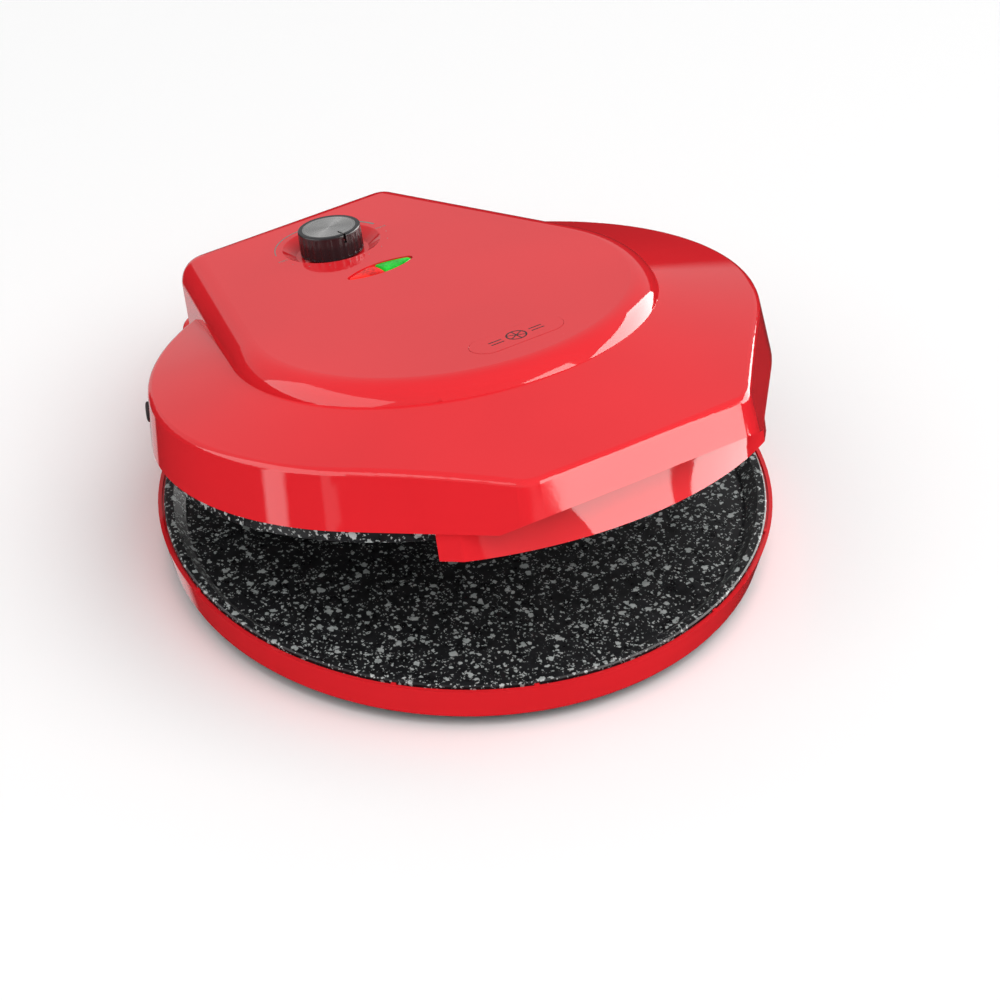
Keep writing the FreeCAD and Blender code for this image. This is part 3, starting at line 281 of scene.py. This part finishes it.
def turned_aluminium():
    """The knob's cap: fine circular turning marks about the knob's axis."""
    material, graph, shader = new_material("turned_aluminium")
    place = graph.place()
    away = graph.node("ShaderNodeVectorMath", operation="SUBTRACT")
    graph.put(away.inputs[0], place)
    away.inputs[1].default_value = DIAL_CENTRE
    along = graph.node("ShaderNodeVectorMath", operation="DOT_PRODUCT")
    graph.put(along.inputs[0], away.outputs[0])
    along.inputs[1].default_value = LID_UP
    length = graph.node("ShaderNodeVectorMath", operation="LENGTH")
    graph.put(length.inputs[0], away.outputs[0])
    square = graph.math("SUBTRACT", graph.math("POWER", length.outputs["Value"], 2.0),
                        graph.math("POWER", along.outputs["Value"], 2.0))
    radius = graph.math("SQRT", graph.math("MAXIMUM", square, 0.0))
    rings = graph.node("ShaderNodeTexNoise", noise_dimensions="1D")
    graph.put(rings.inputs["W"], radius)
    rings.inputs["Scale"].default_value = 1 / (0.35 * MM)
    rings.inputs["Detail"].default_value = 2.0
    lines = rings.outputs["Fac"]
    graph.put(shader.inputs["Base Color"], graph.blend(lines, (0.46, 0.46, 0.46), (0.7, 0.7, 0.69)))
    graph.put(shader.inputs["Roughness"], graph.ramp(lines, 0.3, 0.7, 0.22, 0.36))
    graph.put(shader.inputs["Normal"], graph.bump(lines, 0.35, 0.02 * MM))
    around = graph.node("ShaderNodeVectorMath", operation="CROSS_PRODUCT")
    around.inputs[0].default_value = LID_UP
    graph.put(around.inputs[1], away.outputs[0])
    turned = graph.node("ShaderNodeVectorTransform", vector_type="VECTOR", convert_from="OBJECT",
                        convert_to="WORLD")
    graph.put(turned.inputs[0], around.outputs[0])
    graph.put(shader.inputs["Tangent"], turned.outputs[0])
    shader.inputs["Metallic"].default_value = 1.0
    shader.inputs["Anisotropic"].default_value = 0.85
    return material


def lit_lens(name, dark, bright, glow, strength):
    """Translucent lamp lens, lit from behind and grained inside."""
    material, graph, shader = new_material(name)
    place = graph.place()
    grain = graph.noise(place, 0.7 * MM, 3.0, 0.7).outputs["Fac"]
    pool = graph.noise(place, 6 * MM, 1.0).outputs["Fac"]
    mixed = graph.math("ADD", graph.math("MULTIPLY", grain, 0.55), graph.math("MULTIPLY", pool, 0.45))
    share = graph.ramp(mixed, 0.38, 0.62)
    graph.put(shader.inputs["Base Color"], graph.blend(share, dark, bright))
    graph.put(shader.inputs["Emission Color"], graph.blend(share, scaled(glow, 0.35), glow))
    shader.inputs["Emission Strength"].default_value = strength
    graph.put(shader.inputs["Roughness"], graph.ramp(grain, 0.3, 0.7, 0.05, 0.14))
    graph.put(shader.inputs["Normal"], graph.bump(grain, 0.12, 0.05 * MM))
    shader.inputs["Specular IOR Level"].default_value = 0.25
    return material


FINISHES = {
    "red_shell": red_gloss(),
    "speckled_plate": speckled_coating(),
    "black_cover": finish("black_moulding", (0.03, 0.03, 0.032), 0.2, (0.42, 0.6), 0.6 * MM, 0.3),
    "steel": finish("steel", (0.5, 0.5, 0.49), 0.12, (0.22, 0.42), 0.5 * MM, 0.15, metallic=1.0),
    "reflector": finish("bright_sheet", (0.7, 0.7, 0.7), 0.1, (0.18, 0.34), 1.5 * MM, 0.2, metallic=1.0),
    "insulation": finish("mineral_felt", (0.62, 0.6, 0.54), 0.2, (0.85, 1.0), 0.8 * MM, 0.8, 0.4 * MM,
                         sheen=0.3),
    "rubber": finish("black_rubber", (0.022, 0.022, 0.023), 0.25, (0.55, 0.75), 0.4 * MM, 0.3),
    "technical_plastic": finish("pale_moulding", (0.5, 0.48, 0.42), 0.1, (0.4, 0.55), 0.5 * MM, 0.2),
    "cast_hinge": finish("black_powder_coat", (0.02, 0.02, 0.021), 0.3, (0.4, 0.6), 0.35 * MM, 0.5,
                         0.08 * MM),
    "lens_red": lit_lens("lens_red", (0.35, 0.0, 0.0), (0.9, 0.02, 0.01), (0.95, 0.01, 0.01), 0.55),
    "lens_green": lit_lens("lens_green", (0.0, 0.16, 0.01), (0.01, 0.5, 0.03), (0.0, 0.42, 0.01), 0.7),
    "lamp_glass": finish("lamp_glass", (0.8, 0.6, 0.4), 0.1, (0.05, 0.12), 1.0 * MM, 0.05),
    "knob_black": finish("knob_black", (0.016, 0.015, 0.017), 0.15, (0.2, 0.27), 0.5 * MM, 0.04,
                         0.02 * MM),
    "knob_aluminium": turned_aluminium(),
}
INK = {
    "grey": finish("grey_ink", (0.22, 0.22, 0.2), 0.12, (0.35, 0.5), 0.3 * MM, 0.1),
    "black": finish("black_ink", (0.006, 0.005, 0.005), 0.2, (0.25, 0.4), 0.3 * MM, 0.1),
    # The socket entry is no print: it is painted shade, the dark of each screw's cross recess laid on as a
    # flat sheet.
    "socket_shade": finish("painted_socket_shade", (0.03, 0.03, 0.03), 0.2, (0.5, 0.7), 0.3 * MM, 0.2),
}


RECORD_SLOT = {part["node"]: part["material_slot"] for part in RECORD["subparts"]}


def paint_nodes():
    for name, piece in NODES.items():
        piece.data.materials.clear()
        piece.data.materials.append(FINISHES[RECORD_SLOT[name]])


# ---------------------------------------------------------------- pieces added to the model

PRINT_HEIGHT = 0.03 * MM            # of the print above the raised housing's top

ARC_RADIUS = 31.8 * MM
ARC_COOL = 163.0                    # degrees about the knob's axis, from the oven's right
ARC_HOT = 10.6
ARC_HALF_COOL = 0.28 * MM
ARC_HALF_GROWTH = 0.5 * MM
ARC_STEPS = 72
DOT_RADIUS = 0.35 * MM
DOT_SIDES = 14
DOT_ANGLES = (-163, -143, -122, -101, -79, -58, -37, -17)
WORD_RADIUS = 31.6 * MM
WORD_SIZE = 3.1 * MM
WORD_ANGLE_MIN = 181.0
WORD_ANGLE_MAX = -3.0

BADGE_HEIGHT = 0.13 * MM
PIE_RADIUS = 5.4 * MM
PIE_STEPS = 48
BADGE_LINE = 0.45 * MM              # half a line's width
RULE_OFFSET = 1.6 * MM
RULE_START = 8.6 * MM
RULE_END = 16.5 * MM

LENS_LENGTH = 21.5 * MM             # half, to where the two arcs would meet
LENS_WIDTH = 6.9 * MM               # half
LENS_TIP = 2.4 * MM
LENS_LOW = -1.5 * MM
LENS_HIGH = -0.2 * MM
LENS_CROWN = 0.5 * MM
LENS_RIM = 1.5 * MM
LENS_GAP = 0.35 * MM                # from the middle to each half
LENS_DEPTH = 1.2 * MM
LENS_COLUMNS = 60
LENS_ROWS = 24

SOCKET_HALF_LENGTH = 1.5 * MM
SOCKET_HALF_WIDTH = 0.35 * MM
SOCKET_LIFT = 0.03 * MM

def mesh_piece(name, mesh, body, material, smooth=False):
    built = bpy.data.meshes.new(name)
    mesh.normal_update()
    mesh.to_mesh(built)
    mesh.free()
    for face in built.polygons:
        face.use_smooth = smooth
    built.materials.append(material)
    piece = bpy.data.objects.new(name, built)
    SCENE.collection.objects.link(piece)
    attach(piece, body)
    return piece


def strip(mesh, inner, outer):
    """Quads between two rows of points."""
    low = [mesh.verts.new(p) for p in inner]
    high = [mesh.verts.new(p) for p in outer]
    for i in range(len(low) - 1):
        mesh.faces.new((low[i], high[i], high[i + 1], low[i + 1]))


def patch(mesh, points):
    mesh.faces.new([mesh.verts.new(p) for p in points])


def dial_arc(height):
    """The heat scale: an arc behind the knob that thickens from its cool end to its hot end."""
    mesh = bmesh.new()
    inner, outer = [], []
    for i in range(ARC_STEPS + 1):
        share = i / ARC_STEPS
        angle = math.radians(ARC_COOL + share * (ARC_HOT - ARC_COOL))
        half = ARC_HALF_COOL + ARC_HALF_GROWTH * share
        for row, radius in ((inner, ARC_RADIUS - half), (outer, ARC_RADIUS + half)):
            row.append(on_top(radius * math.cos(angle), radius * math.sin(angle), height))
    strip(mesh, inner, outer)
    mesh_piece("dial_arc", mesh, "lid", INK["grey"])


def dial_dots(height):
    mesh = bmesh.new()
    for angle in DOT_ANGLES:
        a = math.radians(angle)
        x, y = ARC_RADIUS * math.cos(a), ARC_RADIUS * math.sin(a)
        turns = [2 * math.pi * k / DOT_SIDES for k in range(DOT_SIDES)]
        circle = [(x + DOT_RADIUS * math.cos(t), y + DOT_RADIUS * math.sin(t)) for t in turns]
        patch(mesh, [on_top(*point, height) for point in circle])
    mesh_piece("dial_dots", mesh, "lid", INK["grey"])


def dial_word(name, text, angle, height):
    """MIN or MAX, set along the dial's circle."""
    curve = bpy.data.curves.new(name, "FONT")
    curve.body = text
    curve.size = WORD_SIZE
    curve.align_x = "CENTER"
    curve.align_y = "CENTER"
    curve.fill_mode = "FRONT"
    maker = bpy.data.objects.new(name + "_maker", curve)
    SCENE.collection.objects.link(maker)
    bpy.context.view_layer.update()
    flat = bpy.data.meshes.new_from_object(maker.evaluated_get(bpy.context.evaluated_depsgraph_get()))
    bpy.data.objects.remove(maker)
    mesh = bmesh.new()
    mesh.from_mesh(flat)
    a = math.radians(angle)
    x, y = WORD_RADIUS * math.cos(a), WORD_RADIUS * math.sin(a)
    for vertex in mesh.verts:
        vertex.co = on_top(x + vertex.co.x, y + vertex.co.y, height)
    mesh_piece(name, mesh, "lid", INK["grey"])


def badge_mark(height):
    """A plain six-slice pie between two pairs of rules, printed on the badge."""
    centre_y = back_from_dial(node_centre("badge_plate"))
    mesh = bmesh.new()

    def circle(radius):
        turns = [2 * math.pi * k / PIE_STEPS for k in range(PIE_STEPS + 1)]
        return [on_top(radius * math.cos(t), centre_y + radius * math.sin(t), height) for t in turns]

    strip(mesh, circle(PIE_RADIUS - BADGE_LINE), circle(PIE_RADIUS + BADGE_LINE))
    for k in range(3):
        t = math.pi * (k / 3 + 1 / 6)
        along = Vector((math.cos(t), math.sin(t))) * PIE_RADIUS
        across = Vector((-math.sin(t), math.cos(t))) * BADGE_LINE * 0.75
        ends = (across - along, along + across, along - across, -along - across)
        lift = height + k * 0.004 * MM          # the three cuts cross, so each lies a hair higher
        patch(mesh, [on_top(p.x, centre_y + p.y, lift) for p in reversed(ends)])
    for side in (-1, 1):
        x0, x1 = sorted((side * RULE_START, side * RULE_END))
        for row in (-RULE_OFFSET, RULE_OFFSET):
            y0, y1 = centre_y + row - BADGE_LINE, centre_y + row + BADGE_LINE
            patch(mesh, [on_top(*p, height) for p in ((x0, y0), (x1, y0), (x1, y1), (x0, y1))])
    mesh_piece("badge_mark", mesh, "lid", INK["black"])


LENS_ARC = (LENS_LENGTH ** 2 + LENS_WIDTH ** 2) / (2 * LENS_WIDTH)
LENS_TIP_X = math.sqrt((LENS_ARC - LENS_TIP) ** 2 - (LENS_ARC - LENS_WIDTH) ** 2)


def lens_half_width(x):
    """Half the lens's width at a distance from its middle: an arc, then the rounding of the tip."""
    if x < LENS_TIP_X * LENS_ARC / (LENS_ARC - LENS_TIP):
        return math.sqrt(LENS_ARC ** 2 - x ** 2) - (LENS_ARC - LENS_WIDTH)
    return math.sqrt(max(0.0, LENS_TIP ** 2 - (x - LENS_TIP_X) ** 2))


def lens_rise(x, across, half_width, end):
    """Height of the lens's face: a rounded rim all round and a low crown."""
    edge = min(1.0, (1 - abs(across)) * half_width / LENS_RIM, (x - LENS_GAP) / LENS_RIM * 1.4,
               (end - x) / LENS_RIM)
    rim = LENS_LOW + (LENS_HIGH - LENS_LOW) * math.sqrt(max(0.0, 1 - (1 - max(0.0, edge)) ** 2))
    return rim + LENS_CROWN * (1 - (x / end) ** 2) * (1 - across ** 2)


def lens_cap(name, side, node, material):
    """Half of the long oval lens, on the side given: -1 or 1."""
    centre_y = back_from_dial(node_centre("lamp_lens_red", "lamp_lens_green"))
    mesh = bmesh.new()
    columns, rows = LENS_COLUMNS, LENS_ROWS
    end = LENS_TIP_X + LENS_TIP
    grid = []
    for i in range(columns + 1):
        x = LENS_GAP + (end - LENS_GAP) * (1 - (1 - i / columns) ** 1.6)     # closer together at the tip
        half_width = max(lens_half_width(x), 0.02 * MM)
        line = []
        for k in range(rows + 1):
            across = math.sin(math.pi / 2 * (-1 + 2 * k / rows))
            rise = lens_rise(x, across, half_width, end)
            line.append(mesh.verts.new(on_top(side * x, centre_y + across * half_width, rise)))
        grid.append(line)

    def face(*corners):
        mesh.faces.new(corners if side > 0 else tuple(reversed(corners)))

    for i in range(columns):
        for k in range(rows):
            face(grid[i][k], grid[i + 1][k], grid[i + 1][k + 1], grid[i][k + 1])
    rim = [grid[i][0] for i in range(columns + 1)] + [grid[columns][k] for k in range(1, rows + 1)]
    rim += [grid[i][rows] for i in range(columns - 1, -1, -1)] + [grid[0][k] for k in range(rows - 1, 0, -1)]
    low = [mesh.verts.new(vertex.co - LID_UP * LENS_DEPTH) for vertex in rim]
    for i in range(len(rim)):
        j = (i + 1) % len(rim)
        face(rim[j], rim[i], low[i], low[j])
    piece = mesh_piece(name, mesh, "lid", material, smooth=True)
    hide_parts(node)


def screw_sockets(name, node, body, axis):
    """A dark cross of painted shade in each screw head of one node, on the side that axis points to: it
    stands in for the shade inside the head's cross recess.
    """
    mesh = bmesh.new()
    axis = Vector(axis).normalized()
    across = LID_RIGHT
    along = axis.cross(across)
    for head in screw_heads(NODES[node], axis):
        for u, v in ((across, along), (along, across)):
            a, b = u * SOCKET_HALF_LENGTH, v * SOCKET_HALF_WIDTH
            patch(mesh, [head + a + b, head - a + b, head - a - b, head + a - b])
    mesh_piece(name, mesh, body, INK["socket_shade"])


def screw_heads(piece, axis):
    """The centre of each separate solid's outermost face, a hair outside it."""
    mesh = bmesh.new()
    mesh.from_mesh(piece.data)
    bmesh.ops.remove_doubles(mesh, verts=mesh.verts, dist=1e-6)
    seen, heads = set(), []
    for start in mesh.verts:
        if start.index in seen:
            continue
        pile, group = [start], []
        seen.add(start.index)
        while pile:
            vertex = pile.pop()
            group.append(vertex.co.copy())
            for edge in vertex.link_edges:
                other = edge.other_vert(vertex)
                if other.index not in seen:
                    seen.add(other.index)
                    pile.append(other)
        reach = max(p.dot(axis) for p in group)
        rim = [p for p in group if p.dot(axis) > reach - 0.02 * MM]
        heads.append(sum(rim, Vector()) / len(rim) + axis * SOCKET_LIFT)
    mesh.free()
    return heads


# ---------------------------------------------------------------- studio

LIGHT_AIM = Vector((0.0, 0.0, 0.12))
FLOOR_HALF = 30.0


def area_light(name, role, azimuth, elevation, distance, size, radiance, colour=(1, 1, 1)):
    """A softbox that faces the oven: a fill lights it, a card is only mirrored in it."""
    aim = LIGHT_AIM
    a, e = math.radians(azimuth), math.radians(elevation)
    place = aim + Vector((math.sin(a) * math.cos(e), -math.cos(a) * math.cos(e), math.sin(e))) * distance
    data = bpy.data.lights.new(name, "AREA")
    data.shape = "RECTANGLE"
    data.size, data.size_y = size
    data.energy = radiance * math.pi * size[0] * size[1]
    data.color = colour
    light = bpy.data.objects.new(name, data)
    light.visible_glossy = role != "fill"
    light.visible_diffuse = role != "card"
    SCENE.collection.objects.link(light)
    light.location = place
    light.rotation_euler = (aim - place).to_track_quat("-Z", "Y").to_euler()


def make_world():
    """A pale room, darker towards the zenith and dark below the horizon, with three bright panels."""
    world = bpy.data.worlds.new("studio")
    SCENE.world = world
    world.use_nodes = True
    graph = Graph(world.node_tree)
    background = world.node_tree.nodes["Background"]
    direction = graph.node("ShaderNodeTexCoord").outputs["Generated"]
    parts = graph.node("ShaderNodeSeparateXYZ")
    graph.put(parts.inputs[0], direction)
    x, y, z = parts.outputs
    azimuth = graph.math("MULTIPLY", graph.math("ARCTAN2", x, graph.math("MULTIPLY", y, -1.0)), 180 / math.pi)
    elevation = graph.math("MULTIPLY", graph.math("ARCSINE", z), 180 / math.pi)

    def window(value, low, high, edge):
        rise = graph.ramp(value, low - edge, low + edge)
        fall = graph.ramp(value, high - edge, high + edge, 1.0, 0.0)
        return graph.math("MULTIPLY", rise, fall)

    def panel(az0, az1, el0, el1, level, edge=1.0):
        shape = graph.math("MULTIPLY", window(azimuth, az0, az1, edge), window(elevation, el0, el1, edge))
        return graph.math("MULTIPLY", shape, level)

    sky = graph.ramp(elevation, 0.0, 60.0, 0.52, 0.34)
    level = graph.math("MULTIPLY", sky, graph.ramp(elevation, -1.0, 1.0))
    level = graph.math("ADD", level, 0.02)
    for strip_light in (panel(-103.5, -94.5, -40, 1, 2.6), panel(-80.0, -76.0, -40, 1, 0.7, 0.5),
                        panel(156.0, 176.0, -45, 0, 0.55)):
        level = graph.math("ADD", level, strip_light)
    background.inputs["Color"].default_value = (1, 1, 1, 1)
    graph.put(background.inputs["Strength"], level)


def make_floor():
    mesh = bpy.data.meshes.new("floor")
    corners = [(x * FLOOR_HALF, y * FLOOR_HALF, 0) for x, y in ((-1, -1), (1, -1), (1, 1), (-1, 1))]
    mesh.from_pydata(corners, [], [(0, 1, 2, 3)])
    floor = bpy.data.objects.new("floor", mesh)
    SCENE.collection.objects.link(floor)
    material, _, shader = new_material("floor")
    shader.inputs["Base Color"].default_value = (0.95, 0.95, 0.95, 1)
    shader.inputs["Roughness"].default_value = 0.8
    shader.inputs["Specular IOR Level"].default_value = 0.1
    mesh.materials.append(material)
    floor.visible_glossy = False


def make_studio():
    SCENE.view_settings.view_transform = "Standard"
    make_world()
    make_floor()
    area_light("soft_key", "fill", 30, 62, 5.0, (5.0, 5.0), 2.2)
    area_light("soft_fill", "fill", -60, 55, 5.0, (5.0, 4.0), 1.3)
    area_light("card_right_front", "card", 27.5, 18, 4.0, (2.05, 4.0), 6.3, (1.0, 0.97, 0.94))
    area_light("card_right", "card", 83.5, 12, 4.0, (4.9, 2.9), 8.0, (1.0, 0.98, 0.96))
    area_light("card_left", "card", -110, 21, 4.0, (5.4, 3.07), 2.0)


# ---------------------------------------------------------------- assembly

make_camera()
make_studio()
paint_nodes()
dial_arc(PRINT_HEIGHT)
dial_dots(PRINT_HEIGHT)
dial_word("dial_min", "MIN", WORD_ANGLE_MIN, PRINT_HEIGHT)
dial_word("dial_max", "MAX", WORD_ANGLE_MAX, PRINT_HEIGHT)
badge_mark(BADGE_HEIGHT)
lens_cap("lamp_cap_red", -1, "lamp_lens_red", FINISHES["lens_red"])
lens_cap("lamp_cap_green", 1, "lamp_lens_green", FINISHES["lens_green"])
# Flat dark crosses of painted shade in the screw heads, where their cross recesses would be.
screw_sockets("cover_screw_sockets", "bottom_cover_screws", "base", (0, 0, -1))
screw_sockets("handle_screw_sockets", "handle_screws", "lid", -LID_UP)
screw_sockets("rear_screw_sockets", "rear_cover_screws", "lid", -LID_UP)
